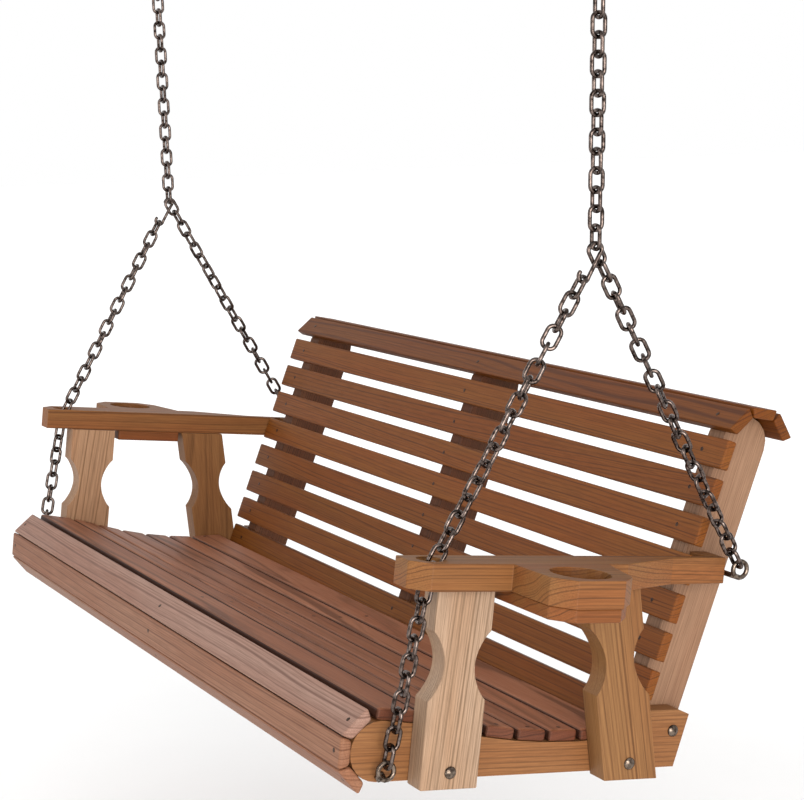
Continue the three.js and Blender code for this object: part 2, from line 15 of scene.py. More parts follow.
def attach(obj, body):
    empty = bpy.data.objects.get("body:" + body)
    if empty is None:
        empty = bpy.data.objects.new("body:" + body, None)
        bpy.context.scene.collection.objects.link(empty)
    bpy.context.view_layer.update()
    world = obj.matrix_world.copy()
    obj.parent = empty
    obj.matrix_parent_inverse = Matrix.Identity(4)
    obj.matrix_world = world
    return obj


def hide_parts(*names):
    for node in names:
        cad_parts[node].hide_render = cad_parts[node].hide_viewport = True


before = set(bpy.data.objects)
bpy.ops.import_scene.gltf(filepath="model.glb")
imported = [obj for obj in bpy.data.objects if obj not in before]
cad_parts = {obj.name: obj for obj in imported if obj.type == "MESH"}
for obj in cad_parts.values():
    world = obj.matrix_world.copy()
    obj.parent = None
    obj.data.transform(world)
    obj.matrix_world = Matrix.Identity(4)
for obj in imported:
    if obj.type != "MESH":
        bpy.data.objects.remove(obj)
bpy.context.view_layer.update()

# ---------- driving dimensions ----------

MM = 0.001
FIT = 0.0003  # clearance between neighbouring pieces
BENCH_TILT = 7.314  # degrees that the hung bench leans back
JUNCTION = Vector((0.808, 0.276, 0.743))  # where three chains meet, in the bench
DROP = 1.010  # ceiling to junction
CHAIN_SPLAY = 0.040  # hangers stand this much further out than the junctions

# chain, bent from round wire
WIRE = 0.006
LINK_INSIDE = 0.026  # inside length of a link
LINK_WIDTH = 0.0196  # between the middles of a link's two long wires
LINK_CORNER = 0.0084
LINK_GRIP = 0.0072  # between the middles of two linked wires
FRONT_CHAIN_SWAY = 40  # degrees that the middle links of a front chain are turned further

# the open hook, which shares the last link of the upper chain with the rear chain
HOOK_OFFSET = 0.0034  # each of the two hangs this far to its own side of the middle of the link
HOOK_ARCH = 0.008
HOOK_LENGTH = 0.041  # between the centres of the two bends
HOOK_OVERRUN = 20  # degrees that each bend turns past a half circle, at both ends
HOOK_STEPS = 20

# ceiling hangers
HANGER_PLATE = Vector((0.110, 0.045, 0.006))
PLATE_CORNER = 6 * MM
PLATE_BEVEL = 0.8 * MM
PLATE_SCREW_X = 0.038  # from the middle of the plate
HANGER_BAR_Z = -0.042
HANGER_BAR_RADIUS = 0.004
HANGER_BAR_HALF = 0.015
HANGER_BAR_CORNER = 9 * MM
HANGER_BAR_STEPS = 6  # in each of its two bends

# side rails and the slats they carry
RAIL_OUTER_X = 0.758
RAIL_THICKNESS = 0.032
NOSE_RADIUS = 0.0425
SLAT_THICKNESS = 0.017
FRONT_SLAT_ANGLES = (135, 180, 225)  # degrees from +Y: the way each front slat faces
SEAT_START = 0.047
SEAT_STEP = 0.0525
# rail height at each gap between seat slats, front to back
SEAT_CURVE = (0.085, 0.079, 0.0675, 0.0565, 0.049, 0.045, 0.044, 0.0475)

# back
BACK_LEAN = 15  # degrees
POST_WIDTH = 0.038
POST_DEPTH = 0.078
CENTRE_JOINT_X = 0.004  # the centre post and the centre rail meet here
BACK_FOOT = (0.455, 0.009)  # y and z of the lower front corner of a back post
BACK_SLAT_THICKNESS = 0.016
BACK_SLATS = 8
FIRST_BACK_SLAT = 0.0575  # from the foot of the post, along it, to the middle of the lowest slat
BACK_STEP = 0.0584
ROLL_CENTRE = 0.495  # from the foot of the post, along it, to the centre of the rounded top
ROLL_ANGLES = (135, 85, 35)  # degrees from +Y: the way each roll slat faces

# arms and their posts
ARM_TOP = 0.3144
ARM_THICKNESS = 0.038
ARM_POST_THICKNESS = 0.038
REAR_POST_GRAIN = 102.5 - BENCH_TILT  # degrees up from +Y: the post leans 12.5 towards the front
CHAIN_HOLE = (0.791, 0.076)  # x and y in the bench

# bolts, at y and z in the bench, and the middles of the eyes
FRONT_POST_BOLT = (0.135, 0.020)
REAR_POST_BOLT = (0.42657, 0.020)
BACK_BOLT = (0.524, 0.054)
SHANK_RADIUS = 4 * MM
FRONT_EYE = Vector((0.776, 0.047, 0.020))
REAR_EYE = Vector((0.786, 0.592, 0.299))
EYE_RING = 0.012
EYE_WIRE = 0.0035
EYE_STEPS = 28

# turned shapes, as (distance along the axis, radius) in millimetres
BOLT_DOME = ((0.3, 8.4), (0.5, 9.0), (1.2, 8.9), (2.2, 8.1), (3.4, 6.4), (4.4, 4.2), (5.0, 2.0), (5.2, 0.5))
WASHER = ((0.3, 9.2), (0.5, 10), (2.0, 10), (2.3, 9.4))
NUT = ((2.2, 6.2), (3.0, 7), (7.4, 7), (8.3, 6.1))
THREAD = tuple((7.5 + i * 0.55, 4 if i % 2 else 3.5) for i in range(7))
EYE_COLLAR = ((0.3, 7.3), (0.9, 8), (4.6, 8), (5.3, 7.3))
PLATE_SCREW = ((-0.2, 6.5), (2.5, 6.5), (3.2, 5.6))
SLAT_SCREW = ((-0.5, 3.2), (0.15, 3.3), (0.30, 2.9), (0.32, 0.3))

# ---------- looks ----------

EDGE_ROUNDING = 0.0025
SOFT_ROUNDING = 0.0045
WELD_DISTANCE = 0.02 * MM
FLAT_ANGLE = 0.5  # degrees: faces that meet at less than this become one
BEVEL_ANGLE = 35  # degrees: edges that turn by more than this are rounded
BEVEL_SEGMENTS = 3

# beginnings of the names of the boards that each of these fits
SOFT_EDGED = ("arm_left", "arm_right", "seat_slat", "front_slat")
STRAIGHT_GRAINED = ("arm_post", "back_post")
# the seat slats get a painted shade on the long sides that face the gaps between them
GAP_SHADE_PAINTED_ON = ("seat_slat",)

# wood by the way it is sawn: how many times further off the pith is, how far the rings sway
# sideways, and how close they are. Far from the pith they show as near-parallel lines
PLAIN_CUT = (1, 0.03, 330)
STRAIGHT_CUT = (4, 0.006, 620)
PITH_PLACES = ((-2, 2), (0.05, 0.11), (-0.09, -0.03))  # the range of each coordinate
GRAIN_LEAN = 0.03  # radians, the most that the grain runs off the length of a board
# how far each pattern is drawn out along the grain: a smaller first number draws it out more
RING_STRETCH = (0.09, 1, 1)
FIBRE_STRETCH = (0.02, 1, 1)
DRIFT_STRETCH = (0.12, 1, 1)
WANDER_SCALE = 11
FIBRE_NOISE = (620, 4.0, 0.65)  # scale, detail and roughness
DRIFT_NOISE = (16, 2.0)  # scale and detail
FIBRE_STRENGTH = 0.85
SHADE_SEED = 1000  # the first seed of the shades; the cuts take theirs from 0
BOARD_SHADES = (0.90, 1.08)  # a board is its kind's colour times something in this range
WOOD_ROUGHNESS = (0.62, 0.44)  # at the dark end of the fibre and at its light end
WOOD_SPECULAR = 0.18
WOOD_RELIEF = 0.4 * MM
WOOD_BUMP = 0.35
RINGS_IN_RELIEF = 0.35  # the share of the relief that follows the rings; the rest is fibre
# what the colour of a board with painted gap shade is multiplied by: on its long sides, which face the gaps
# between slats, a painted shade, and on its ends, a darker tone
PAINTED_GAP_SHADE = (0.16, 0.13, 0.12)
SHADE_OF_ENDS = (0.42, 0.34, 0.32)

# steel
METAL_RELIEF = 0.2 * MM
METAL_BUMP = 0.15
PITS_IN_PATCH = 6  # the pitting is this many times finer than the patches of colour
DULL_ROUGHER = 0.12  # added to the roughness in the dull patches
BRIGHT_SMOOTHER = 0.06  # taken off it in the bright ones

# floor
FLOOR_Z = -2.25
FLOOR_HALF = 30.0
FLOOR_PATCHES = 2.0  # in a metre
FLOOR_ROUGHNESS = 0.9
GLOW_STRETCH = (0.1, 0.1, 0.1)  # so that ten metres out is 1 on the ramp of the glow

# place, target, size, power and colour of each soft light
LIGHTS = {
    "key": ((6.0, -1.5, -0.4), (0, 0, -1.3), 3.5, 330, (1.0, 0.97, 0.93)),
    "front": ((-0.5, -4.5, 0.2), (0, 0, -1.4), 2.5, 50, (1, 1, 1)),
}

# camera: angles in degrees, lens and sensor in millimetres
CAMERA_PLACE = (3.1495, -1.4893, -0.7898)
CAMERA_AZIMUTH = 63.61
CAMERA_ELEVATION = 9.36
CAMERA_ROLL = -1.42
CAMERA_LENS = 91.6
CAMERA_SENSOR = 36.0
CAMERA_SHIFT = (0.0245, 0.0324)

# ---------- places ----------

BENCH_TO_WORLD = (
    Matrix.Translation((0, 0, -DROP))
    @ Matrix.Rotation(math.radians(-BENCH_TILT), 4, "X")
    @ Matrix.Translation((0, -JUNCTION.y, -JUNCTION.z))
)


def bench(x, y, z):
    return BENCH_TO_WORLD @ Vector((x, y, z))


def bench_way(x, y, z):
    return (BENCH_TO_WORLD.to_3x3() @ Vector((x, y, z))).normalized()


def flipped(points, side):
    """The same points on the left when side is -1."""
    return [Vector((point.x * side, point.y, point.z)) for point in points]


def on_back(along, out):
    """y and z at a distance along the front face of the back posts, and out in front of it."""
    lean = math.radians(BACK_LEAN)
    y = BACK_FOOT[0] + along * math.sin(lean) - out * math.cos(lean)
    z = BACK_FOOT[1] + along * math.cos(lean) + out * math.sin(lean)
    return y, z


# ---------- mesh making ----------

NEAR_VERTICAL = 0.9  # a unit vector whose z is larger than this is too steep to be crossed with Z
NO_AREA = 1e-7  # points whose cross product is shorter than this lie on one line


def new_piece(name, verts, faces, material, body, replaces=(), smooth=True):
    mesh = bpy.data.meshes.new(name)
    mesh.from_pydata([tuple(v) for v in verts], [], faces)
    mesh.validate()
    mesh.polygons.foreach_set("use_smooth", [smooth] * len(mesh.polygons))
    piece = bpy.data.objects.new(name, mesh)
    bpy.context.scene.collection.objects.link(piece)
    piece.data.materials.append(material)
    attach(piece, body)
    if replaces:
        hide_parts(*replaces)
    return piece


class Build:
    """Gathers the vertices and faces of one piece."""

    def __init__(self):
        self.verts = []
        self.faces = []

    def rings(self, rings, closed=False):
        """Joins rings of equal size into a skin, with a cap on each open end."""
        start = len(self.verts)
        sides = len(rings[0])
        for ring in rings:
            self.verts.extend(ring)
        last = len(rings) if closed else len(rings) - 1
        for i in range(last):
            j = (i + 1) % len(rings)
            for k in range(sides):
                turn = (k + 1) % sides
                quad = (i * sides + k, i * sides + turn, j * sides + turn, j * sides + k)
                self.faces.append(tuple(start + corner for corner in quad))
        if not closed:
            far = start + (len(rings) - 1) * sides
            self.faces.append(tuple(start + k for k in reversed(range(sides))))
            self.faces.append(tuple(far + k for k in range(sides)))

    def tube(self, points, radius, sides=10, closed=False, round_ends=False):
        """A round wire through the points, which lie in one plane or on one line."""
        count = len(points)
        plane = wire_plane(points)
        rings = []
        for i, here in enumerate(points):
            before = points[i - 1] if closed or i else here
            after = points[(i + 1) % count] if closed or i < count - 1 else here
            tangent = (after - before).normalized()
            across = plane.cross(tangent).normalized()
            rings.append(circle(here, across, tangent.cross(across), radius, sides))
        if round_ends:
            rings = domed(points, rings, radius)
        self.rings(rings, closed)

    def lathe(self, origin, axis, profile, sides=24):
        """Turns (distance along the axis, radius) pairs into a solid."""
        axis = axis.normalized()
        helper = Vector((0, 0, 1)) if abs(axis.z) < NEAR_VERTICAL else Vector((0, 1, 0))
        across = helper.cross(axis).normalized()
        up = axis.cross(across)
        self.rings([circle(origin + axis * d, across, up, r, sides) for d, r in profile])


def in_metres(profile):
    return [(distance * MM, radius * MM) for distance, radius in profile]


def circle(centre, across, up, radius, sides):
    ring = []
    for k in range(sides):
        angle = 2 * math.pi * k / sides
        ring.append(centre + across * (radius * math.cos(angle)) + up * (radius * math.sin(angle)))
    return ring


def wire_plane(points):
    """A unit normal of the plane that the points lie in, or any normal to a straight line of them."""
    first = points[1] - points[0]
    for point in points[2:]:
        normal = first.cross(point - points[0])
        if normal.length > NO_AREA:
            return normal.normalized()
    helper = Vector((0, 0, 1)) if abs(first.x) > abs(first.z) else Vector((1, 0, 0))
    return helper.cross(first).normalized()


def domed(points, rings, radius):
    """Adds shrinking rings beyond both ends, so that a cut wire ends in a low dome."""
    steps = 3
    last_angle = math.radians(85)
    lowness = 0.6

    def cap(end, inner, ring):
        way = (end - inner).normalized()
        made = []
        for i in range(1, steps + 1):
            angle = last_angle * i / steps
            centre = end + way * (radius * math.sin(angle) * lowness)
            made.append([centre + (v - end) * math.cos(angle) for v in ring])
        return made

    head = cap(points[0], points[1], rings[0])
    tail = cap(points[-1], points[-2], rings[-1])
    return head[::-1] + rings + tail


def round_cornered(half_u, half_v, radius, points):
    """The (u, v) outline of a rectangle, with that many points on each rounded corner."""
    outline = []
    for su, sv, start in ((1, 1, 0), (-1, 1, 90), (-1, -1, 180), (1, -1, 270)):
        for i in range(points):
            angle = math.radians(start + i * 90 / (points - 1))
            u = su * (half_u - radius) + radius * math.cos(angle)
            v = sv * (half_v - radius) + radius * math.sin(angle)
            outline.append((u, v))
    return outline


def link_path(centre, down, across):
    """The middle of a link's wire: a loop with two long sides along `down`."""
    outline = round_cornered(LINK_WIDTH / 2, (LINK_INSIDE + WIRE) / 2, LINK_CORNER, 6)
    return [centre + across * u + down * v for u, v in outline]


def along_path(path, distance):
    """The point at a distance along straight stretches. Past either end it goes straight on."""
    for here, there in zip(path[:-2], path[1:-1]):
        step = there - here
        if distance <= step.length:
            return here + step.normalized() * distance
        distance -= step.length
    return path[-2] + (path[-1] - path[-2]).normalized() * distance


def extra_twist(path, start, end, count):
    """How much further than a quarter turn each link is turned, so that the last one lies across `end`."""
    down_end = (path[-1] - path[-2]).normalized()
    carried = (path[1] - path[0]).normalized().rotation_difference(down_end) @ start
    turn = signed_angle(carried, end, down_end)
    quarter_turns = math.pi / 2 * (count - 1)
    return wrapped(turn - quarter_turns) / (count - 1)


def chain(name, path, across_start, across_end, body, replaces, sway=0):
    """Links along the path, each about a quarter turn from the last.

    `sway` is how many degrees the links in the middle are turned further.
    """
    length = sum((b - a).length for a, b in zip(path, path[1:]))
    reach = LINK_INSIDE + WIRE
    count = math.ceil((length - WIRE) / LINK_INSIDE)
    spacing = (length - reach) / (count - 1)
    start = across_start.normalized()
    twist = extra_twist(path, start, across_end, count)
    build = Build()
    for i in range(count):
        top = along_path(path, i * spacing)
        bottom = along_path(path, i * spacing + reach)
        down = (bottom - top).normalized()
        across = start - down * start.dot(down)
        further = math.radians(sway) * math.sin(math.pi * i / (count - 1))
        spin = Quaternion(down, i * (math.pi / 2 + twist) + further)
        build.tube(link_path((top + bottom) / 2, down, spin @ across.normalized()), WIRE / 2, closed=True)
    return new_piece(name, build.verts, build.faces, CHAIN, body, replaces)


def signed_angle(a, b, axis):
    flat_a = (a - axis * a.dot(axis)).normalized()
    flat_b = (b - axis * b.dot(axis)).normalized()
    return math.atan2(axis.dot(flat_a.cross(flat_b)), flat_a.dot(flat_b))


def wrapped(angle):
    """The same turn of a link, which looks alike every half turn, within a quarter turn of zero."""
    return (angle + math.pi / 2) % math.pi - math.pi / 2


# ---------- materials ----------


class Tree:
    """Short ways to add and join shader nodes in one material."""

    def __init__(self, name):
        self.material = bpy.data.materials.new(name)
        self.material.use_nodes = True
        self.nodes = self.material.node_tree.nodes
        self.links = self.material.node_tree.links
        self.shader = self.nodes["Principled BSDF"]

    def add(self, kind, settings=None, **inputs):
        node = self.nodes.new("ShaderNode" + kind)
        for key, value in (settings or {}).items():
            setattr(node, key, value)
        for key, value in inputs.items():
            self.feed(node, key.replace("_", " "), value)
        return node

    def feed(self, node, socket, value):
        if isinstance(value, bpy.types.NodeSocket):
            self.links.new(value, node.inputs[socket])
        else:
            node.inputs[socket].default_value = value

    def place(self, rotation=(0, 0, 0), location=(0, 0, 0), stretch=(1, 1, 1)):
        coordinates = self.add("TexCoord").outputs["Object"]
        turned = self.add("Mapping", Vector=coordinates, Rotation=rotation, Location=location)
        return self.add("Mapping", Vector=turned.outputs[0], Scale=stretch).outputs[0]

    def noise(self, vector, scale, detail=3.0, roughness=0.55):
        node = self.add("TexNoise", Vector=vector, Scale=scale, Detail=detail, Roughness=roughness)
        return node.outputs["Fac"]

    def ramp(self, factor, stops):
        node = self.add("ValToRGB", Fac=factor)
        marks = node.color_ramp.elements
        while len(marks) < len(stops):
            marks.new(0.5)
        for mark, (place, colour) in zip(marks, stops):
            mark.position = place
            mark.color = (*colour, 1)
        return node.outputs[0]

    def mix(self, factor, first, second, way="MIX"):
        node = self.add("Mix", {"data_type": "RGBA", "blend_type": way})
        for index, value in ((0, factor), (6, first), (7, second)):
            if isinstance(value, bpy.types.NodeSocket):
                self.links.new(value, node.inputs[index])
            else:
                node.inputs[index].default_value = value if index == 0 else (*value, 1)
        return node.outputs[2]

    def vector(self, operation, first, second=None, output="Vector"):
        node = self.add("VectorMath", {"operation": operation})
        for index, value in enumerate((first, second)):
            if value is not None:
                self.feed(node, index, value)
        return node.outputs[output]

    def faces_along(self, axis):
        """1 on faces that look either way along an axis, 0 on those that look across it."""
        normal = self.add("TexCoord").outputs["Normal"]
        part = self.add("SeparateXYZ", Vector=normal).outputs[axis]
        size = self.add("Math", {"operation": "ABSOLUTE"}, Value=part).outputs[0]
        return self.ramp(size, FACE_STOPS)

    def spread(self, value, low, high):
        return self.add("MapRange", Value=value, To_Min=low, To_Max=high).outputs[0]


def grey(value):
    return (value, value, value)


def tone(red, green, blue):
    """A linear colour from the 0 to 255 numbers of a paint chart."""
    channels = []
    for value in (red, green, blue):
        share = value / 255
        channels.append(share / 12.92 if share <= 0.04045 else ((share + 0.055) / 1.055) ** 2.4)
    return tuple(channels)


def grain_turn(degrees):
    """The mapping that lays a grain running in the YZ plane, that far up from +Y, along the texture's X."""
    return Euler((math.radians(-degrees), 0, math.radians(-90)))


ALONG_X = Euler((0, 0, 0))


# colour ramps, as (place, colour)
FACE_STOPS = ((0.35, grey(0)), (0.85, grey(1)))
DRIFT_STOPS = ((0.35, grey(0)), (0.65, grey(1)))
RING_STOPS = ((0.46, grey(0)), (0.70, grey(0.85)))
FIBRE_STOPS = ((0.30, (0.70, 0.67, 0.64)), (0.62, (1.08, 1.07, 1.06)))
FLOOR_STOPS = ((0.3, grey(0.90)), (0.7, grey(0.92)))
GLOW_STOPS = ((0.12, grey(0)), (0.5, grey(0.25)))


def growth_rings(tree, turn, pith, sway, rings_in_a_metre):
    """Uneven rings round the pith, which wander sideways along the trunk."""
    trunk = tree.place(turn, pith, RING_STRETCH)
    wander = tree.add("TexNoise", Vector=trunk, Scale=WANDER_SCALE, Detail=2.0).outputs["Color"]
    wander = tree.vector("SUBTRACT", wander, grey(0.5))
    wander = tree.vector("MULTIPLY", wander, (0, sway, sway))
    across = tree.vector("MULTIPLY", tree.vector("ADD", trunk, wander), (0, 1, 1))
    from_pith = tree.vector("LENGTH", across, output="Value")
    rings = tree.add("TexNoise", {"noise_dimensions": "1D"}, W=from_pith, Scale=rings_in_a_metre, Detail=2.0)
    return rings.outputs["Fac"]


def wood(name, stains, grain, seed, cut, paints_gap_shade):
    """Stained softwood as a solid: growth rings, fine fibre, a slow drift of colour, a satin finish."""
    light, dark, warm = stains
    depth, sway, rings_in_a_metre = cut
    dice = random.Random(seed)
    tree = Tree(name)
    lean = dice.uniform(-GRAIN_LEAN, GRAIN_LEAN)
    turn = Euler((grain.x, grain.y + lean / 2, grain.z + lean))
    along, aside, under = (dice.uniform(*places) for places in PITH_PLACES)
    pith = (along, depth * aside, depth * under)
    rings = growth_rings(tree, turn, pith, sway, rings_in_a_metre)
    fibre = tree.noise(tree.place(turn, pith, FIBRE_STRETCH), *FIBRE_NOISE)
    drift = tree.noise(tree.place(turn, pith, DRIFT_STRETCH), *DRIFT_NOISE)
    early = tree.mix(tree.ramp(drift, DRIFT_STOPS), light, warm)
    base = tree.mix(tree.ramp(rings, RING_STOPS), early, dark)
    colour = tree.mix(FIBRE_STRENGTH, base, tree.ramp(fibre, FIBRE_STOPS), "MULTIPLY")
    # painted shade: the long sides of the board, down in the gaps between slats, are darkened as if in
    # shadow, and its ends get a darker tone
    if paints_gap_shade:
        colour = tree.mix(tree.faces_along("Y"), colour, PAINTED_GAP_SHADE, "MULTIPLY")
        colour = tree.mix(tree.faces_along("X"), colour, SHADE_OF_ENDS, "MULTIPLY")
    tree.feed(tree.shader, "Base Color", colour)
    tree.feed(tree.shader, "Roughness", tree.spread(fibre, *WOOD_ROUGHNESS))
    tree.shader.inputs["Specular IOR Level"].default_value = WOOD_SPECULAR
    height = tree.mix(RINGS_IN_RELIEF, fibre, rings)
    bump = tree.add("Bump", Height=height, Strength=WOOD_BUMP, Distance=WOOD_RELIEF)
    tree.feed(tree.shader, "Normal", bump.outputs[0])
    return tree.material


def metal(name, bright, dull, roughness, scale=160):
    """Plated steel: a patchy zinc skin, darker in the worn patches."""
    tree = Tree(name)
    patches = tree.noise(tree.place(), scale, 3.0)
    colour = tree.ramp(patches, ((0.35, dull), (0.65, bright)))
    tree.feed(tree.shader, "Base Color", colour)
    worn = tree.spread(patches, roughness + DULL_ROUGHER, roughness - BRIGHT_SMOOTHER)
    tree.feed(tree.shader, "Roughness", worn)
    tree.shader.inputs["Metallic"].default_value = 1.0
    pits = tree.noise(tree.place(), scale * PITS_IN_PATCH)
    bump = tree.add("Bump", Height=pits, Strength=METAL_BUMP, Distance=METAL_RELIEF)
    tree.feed(tree.shader, "Normal", bump.outputs[0])
    return tree.material


# light, dark and warm stain of each kind of board, and how far up from +Y its grain runs (None is along X)
WOODS = {
    "front_slat": (tone(141, 102, 79), tone(96, 58, 38), tone(133, 88, 63), None),
    # the upper front slat is lighter and greyer than the others: a painted sheen where it faces up and to
    # the front
    "front_slat_upper": (tone(152, 121, 107), tone(107, 77, 66), tone(144, 107, 91), None),
    "seat_slat": (tone(150, 100, 74), tone(102, 64, 44), tone(140, 88, 62), None),
    "back_slat": (tone(114, 66, 20), tone(80, 42, 10), tone(114, 60, 14), None),
    "roll_slat": (tone(100, 54, 8), tone(70, 32, 3), tone(98, 49, 5), None),
    "seat_rail": (tone(135, 94, 58), tone(101, 66, 38), tone(129, 85, 50), -BENCH_TILT),
    "back_post": (tone(138, 107, 84), tone(107, 76, 57), tone(132, 98, 75), 90 - BACK_LEAN - BENCH_TILT),
    # the left and centre back posts are darker than the right one: a painted shadow of the back slats in
    # front of them
    "back_post_left": (tone(96, 58, 34), tone(66, 38, 20), tone(94, 52, 28), 90 - BACK_LEAN - BENCH_TILT),
    "back_post_centre": (tone(96, 58, 34), tone(66, 38, 20), tone(94, 52, 28), 90 - BACK_LEAN - BENCH_TILT),
    "arm_post_front": (tone(158, 134, 113), tone(112, 89, 68), tone(151, 121, 96), 90 - BENCH_TILT),
    "arm_post_front_left": (tone(158, 124, 96), tone(112, 82, 57), tone(151, 112, 83), 90 - BENCH_TILT),
    "arm_post_rear": (tone(129, 92, 56), tone(91, 58, 31), tone(123, 82, 47), REAR_POST_GRAIN),
    "arm": (tone(121, 82, 45), tone(88, 54, 28), tone(123, 75, 39), -BENCH_TILT),
    "cup_floor": (tone(116, 72, 36), tone(84, 48, 22), tone(118, 64, 30), -BENCH_TILT),
}


def kind_of(node):
    """The key of WOODS that fits a node's name, or None for metal."""
    fits = [kind for kind in WOODS if node == kind or node.startswith(kind + "_")]
    return max(fits, key=len) if fits else None


def dress_wood():
    """Gives each board its own cut of wood and takes the sharpness off its edges."""
    for seed, name in enumerate(sorted(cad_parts)):
        kind = kind_of(name)
        if kind is None:
            continue
        light, dark, warm, degrees = WOODS[kind]
        dice = random.Random(SHADE_SEED + seed)
        shade = dice.uniform(*BOARD_SHADES)
        stains = [tuple(channel * shade for channel in colour) for colour in (light, dark, warm)]
        grain = ALONG_X if degrees is None else grain_turn(degrees)
        cut = STRAIGHT_CUT if name.startswith(STRAIGHT_GRAINED) else PLAIN_CUT
        skin = wood("wood_" + name, stains, grain, seed, cut, name.startswith(GAP_SHADE_PAINTED_ON))
        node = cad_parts[name]
        node.data.materials.clear()
        node.data.materials.append(skin)
        soften_edges(node, SOFT_ROUNDING if name.startswith(SOFT_EDGED) else EDGE_ROUNDING)


def soften_edges(node, rounding):
    weld = node.modifiers.new("weld", "WELD")
    weld.merge_threshold = WELD_DISTANCE
    flat = node.modifiers.new("flat", "DECIMATE")
    flat.decimate_type = "DISSOLVE"
    flat.angle_limit = math.radians(FLAT_ANGLE)
    bevel = node.modifiers.new("bevel", "BEVEL")
    bevel.width = rounding
    bevel.segments = BEVEL_SEGMENTS
    bevel.limit_method = "ANGLE"
    bevel.angle_limit = math.radians(BEVEL_ANGLE)



CHAIN = metal("chain_zinc", tone(112, 99, 93), tone(34, 27, 24), 0.20)
BOLT = metal("bolt_zinc", tone(126, 112, 100), tone(50, 40, 34), 0.22)
HANGER = metal("hanger_zinc", tone(160, 156, 150), tone(104, 100, 96), 0.34, 60)
SCREW = metal("screw_dark", tone(82, 64, 54), tone(40, 28, 24), 0.45, 400)

# ---------- chains and their hardware ----------

SIDES = (("right", 1), ("left", -1))
ACROSS = Vector((1, 0, 0))


def junction_point(offset=0.0):
    return bench(JUNCTION.x + offset, JUNCTION.y, JUNCTION.z)


def kink_point():
    return bench(*CHAIN_HOLE, ARM_TOP - ARM_THICKNESS / 2)


def in_eye(eye, pull):
    """Where the end wire of a link rests in an eye's ring when its chain pulls towards `pull`."""
    centre = bench(*eye)
    way = pull - centre
    way.x = 0
    return centre + way.normalized() * (EYE_RING - LINK_GRIP - FIT)


def hook_frame():
    down = kink_point() - junction_point()
    down.x = 0
    down.normalize()
    return down, Vector((0, down.z, -down.y))


def hook_point(u, v):
    down, front = hook_frame()
    return junction_point(HOOK_OFFSET) + front * u + down * v


def hook_path():
    """Two bends that both open to the front, joined by a straight shank behind."""
    path = []
    turn = (180 + 2 * HOOK_OVERRUN) / HOOK_STEPS
    for depth, start in ((0, -HOOK_OVERRUN), (HOOK_LENGTH, -180 - HOOK_OVERRUN)):
        for i in range(HOOK_STEPS + 1):
            angle = math.radians(start + i * turn)
            path.append(hook_point(HOOK_ARCH * math.cos(angle), depth - HOOK_ARCH * math.sin(angle)))
    return path


def make_hooks():
    for name, side in SIDES:
        build = Build()
        build.tube(flipped(hook_path(), side), WIRE / 2, 12, round_ends=True)
        new_piece(
            "hook_" + name, build.verts, build.faces, CHAIN,
            "seat", ["chain_hook_" + name],
        )


def make_chains():
    lower_bend = hook_point(0, HOOK_LENGTH + HOOK_ARCH - LINK_GRIP)
    kink = kink_point()
    front = [lower_bend, kink, in_eye(FRONT_EYE, kink)]
    rear_eye = in_eye(REAR_EYE, junction_point())
    rear_top = junction_point(-HOOK_OFFSET)
    pull = (rear_eye - rear_top).normalized()
    rear = [rear_top - pull * LINK_GRIP, rear_eye]
    in_side = pull.cross(ACROSS).normalized()
    grip = LINK_GRIP + HANGER_BAR_RADIUS - WIRE / 2
    upper = [
        Vector((JUNCTION.x + CHAIN_SPLAY, 0, HANGER_BAR_Z + grip)),
        Vector((JUNCTION.x, 0, -DROP)),
    ]
    for name, side in SIDES:
        chain(
            "links_front_" + name, flipped(front, side), ACROSS, ACROSS,
            "seat", ["front_chain_" + name], sway=FRONT_CHAIN_SWAY,
        )
        (turned,) = flipped([in_side], side)
        chain("links_rear_" + name, flipped(rear, side), turned, ACROSS, "seat", ["rear_chain_" + name])
        chain(
            "links_upper_" + name, flipped(upper, side), Vector((0, 1, 0)), ACROSS,
            "upper_chains", ["upper_chain_" + name],
        )


# ---------- bolts ----------


def add_nut(build, face, y, z, side):
    """A washer, a six-sided nut and a threaded end on a face that looks towards the middle."""
    inwards = Vector((-side, 0, 0))
    start = bench(face * side, y, z)
    build.lathe(start, inwards, in_metres(WASHER))
    build.lathe(start, inwards, in_metres(NUT), sides=6)
    build.lathe(start, inwards, in_metres(THREAD), sides=16)


def add_shank(build, near, far, y, z, side):
    start = bench(near * side, y, z)
    end = bench(far * side, y, z)
    build.lathe(start, end - start, ((0, SHANK_RADIUS), ((end - start).length, SHANK_RADIUS)), sides=16)


def carriage_bolt(name, head, nut, y, z, side):
    build = Build()
    build.lathe(bench(head * side, y, z), Vector((side, 0, 0)), in_metres(BOLT_DOME))
    add_shank(build, head, nut, y, z, side)
    add_nut(build, nut, y, z, side)
    new_piece("piece_" + name, build.verts, build.faces, BOLT, "seat", [name])


def eye_bolt(name, eye, face, nut, side):
    build = Build()
    ring = []
    for i in range(EYE_STEPS):
        angle = 2 * math.pi * i / EYE_STEPS
        y = eye.y + EYE_RING * math.cos(angle)
        z = eye.z + EYE_RING * math.sin(angle)
        ring.append(bench(eye.x * side, y, z))
    build.tube(ring, EYE_WIRE, 12, closed=True)
    root = eye.z - EYE_RING
    add_shank(build, eye.x, nut, eye.y, root, side)
    build.lathe(bench(face * side, eye.y, root), Vector((side, 0, 0)), in_metres(EYE_COLLAR), sides=6)
    add_nut(build, nut, eye.y, root, side)
    new_piece("piece_" + name, build.verts, build.faces, BOLT, "seat", [name])


